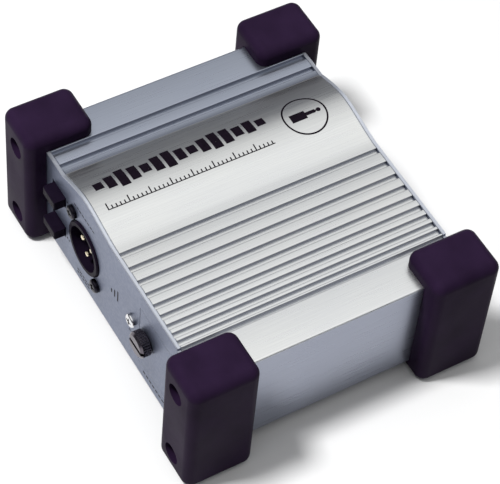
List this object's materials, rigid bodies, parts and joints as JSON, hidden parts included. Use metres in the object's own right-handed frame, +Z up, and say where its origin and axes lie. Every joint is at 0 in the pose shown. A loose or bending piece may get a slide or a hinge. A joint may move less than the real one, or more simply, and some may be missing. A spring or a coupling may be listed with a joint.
{
  "type": "direct injection box",
  "caption": "Stage direct injection box: ribbed aluminium body with rubber corner guards, three-pin and jack sockets, push buttons and a hinged battery door.",
  "frame": {"origin": "under the centre of the box, on the surface that the corner guards stand on", "axes": "+X along the socket panels, to the right when facing the front panel; +Y from the front panel to the rear panel; +Z up"},
  "size_m": [0.15, 0.13, 0.06],
  "materials": {
    "body_aluminium": "brushed and clear anodised",
    "panel_aluminium": "satin anodised",
    "guard_rubber": "moulded, satin",
    "black_plastic": "moulded, satin",
    "black_screw": "black oxide",
    "bright_chrome": "polished",
    "dark_chrome": "dark nickel, knurled",
    "steel": "zinc plated",
    "contact_brass": "gold plated",
    "white_nylon": "moulded",
    "board_green": "solder mask",
    "core_steel": "laminated",
    "coil_tape": "wound tape",
    "can_sleeve": "shrink sleeve",
    "chip_black": "moulded",
    "resistor_body": "lacquered",
    "led_lens": "clear tinted",
    "battery_jacket": "printed steel jacket",
    "lead_insulation": "soft plastic"
  },
  "bodies": {
    "box": {"profile_shell": "body_aluminium", "front_panel": "panel_aluminium", "rear_panel": "panel_aluminium", "corner_guard_front_left": "guard_rubber", "corner_guard_front_right": "guard_rubber", "corner_guard_rear_left": "guard_rubber", "corner_guard_rear_right": "guard_rubber", "guard_screws": "black_screw", "xlr_out_housing": "black_plastic", "xlr_out_pins": "contact_brass", "xlr_out_screws": "black_screw", "xlr_in_shell": "black_plastic", "xlr_in_insert": "black_plastic", "xlr_in_contacts": "contact_brass", "xlr_in_screws": "black_screw", "jack_input": "black_plastic", "jack_link": "black_plastic", "jack_input_contacts": "contact_brass", "jack_link_contacts": "contact_brass", "jack_nuts": "bright_chrome", "jack_washers": "steel", "front_switch_board": "board_green", "rear_switch_board": "board_green", "circuit_board": "board_green", "board_standoffs": "white_nylon", "board_screws": "steel", "transformer_core": "core_steel", "transformer_coil": "coil_tape", "capacitors": "can_sleeve", "chips": "chip_black", "resistors": "resistor_body", "status_led": "led_lens", "led_holder": "black_plastic", "battery_bay": "black_plastic", "catch_insert": "contact_brass", "door_hinge_pin": "steel", "battery": "battery_jacket", "battery_snap": "black_plastic", "battery_leads": "lead_insulation", "earth_screw": "bright_chrome", "earth_nut": "steel", "ground_lift_switch": "black_plastic", "ground_lift_spring": "steel", "filter_switch": "black_plastic", "filter_spring": "steel", "pad_high_switch": "black_plastic", "pad_high_spring": "steel", "pad_low_switch": "black_plastic", "pad_low_spring": "steel"},
    "ground_lift_plunger": {"ground_lift_button": "black_plastic"},
    "filter_plunger": {"filter_button": "black_plastic"},
    "pad_high_plunger": {"pad_high_button": "black_plastic"},
    "pad_low_plunger": {"pad_low_button": "black_plastic"},
    "latch": {"xlr_in_latch": "steel"},
    "door": {"battery_door": "panel_aluminium"},
    "washer": {"thumb_washer": "black_plastic"},
    "thumb": {"thumb_screw": "dark_chrome"}
  },
  "joints": [
    {"name": "ground_lift_press", "type": "slide", "parent": "box", "child": "ground_lift_plunger", "axis": [0, 1, 0], "range_m": [0, 0.0025], "stiffness_N_per_m": 300, "deforming": ["ground_lift_spring"]},
    {"name": "filter_press", "type": "slide", "parent": "box", "child": "filter_plunger", "axis": [0, 1, 0], "range_m": [0, 0.0025], "stiffness_N_per_m": 300, "deforming": ["filter_spring"]},
    {"name": "pad_high_press", "type": "slide", "parent": "box", "child": "pad_high_plunger", "axis": [0, -1, 0], "range_m": [0, 0.0025], "stiffness_N_per_m": 300, "deforming": ["pad_high_spring"]},
    {"name": "pad_low_press", "type": "slide", "parent": "box", "child": "pad_low_plunger", "axis": [0, -1, 0], "range_m": [0, 0.0025], "stiffness_N_per_m": 300, "deforming": ["pad_low_spring"]},
    {"name": "latch_press", "type": "slide", "parent": "box", "child": "latch", "axis": [0, 0, -1], "range_m": [0, 0.0012], "stiffness_N_per_m": 400},
    {"name": "door_swing", "type": "hinge", "parent": "box", "child": "door", "pos_m": [0.0505, -0.0556, 0.0292], "axis": [0, 0, 1], "range_deg": [0, 90]},
    {"name": "thumb_draw", "type": "slide", "parent": "door", "child": "washer", "axis": [0, -1, 0], "range_m": [0, 0.0018]},
    {"name": "thumb_turn", "type": "hinge", "parent": "washer", "child": "thumb", "pos_m": [0.028, -0.057, 0.0316], "axis": [0, -1, 0], "range_deg": [0, 1080.5]}
  ],
  "couplings": [
    {"joint": "thumb_turn", "follows": "thumb_draw", "rad_per_m": 10472}
  ]
}
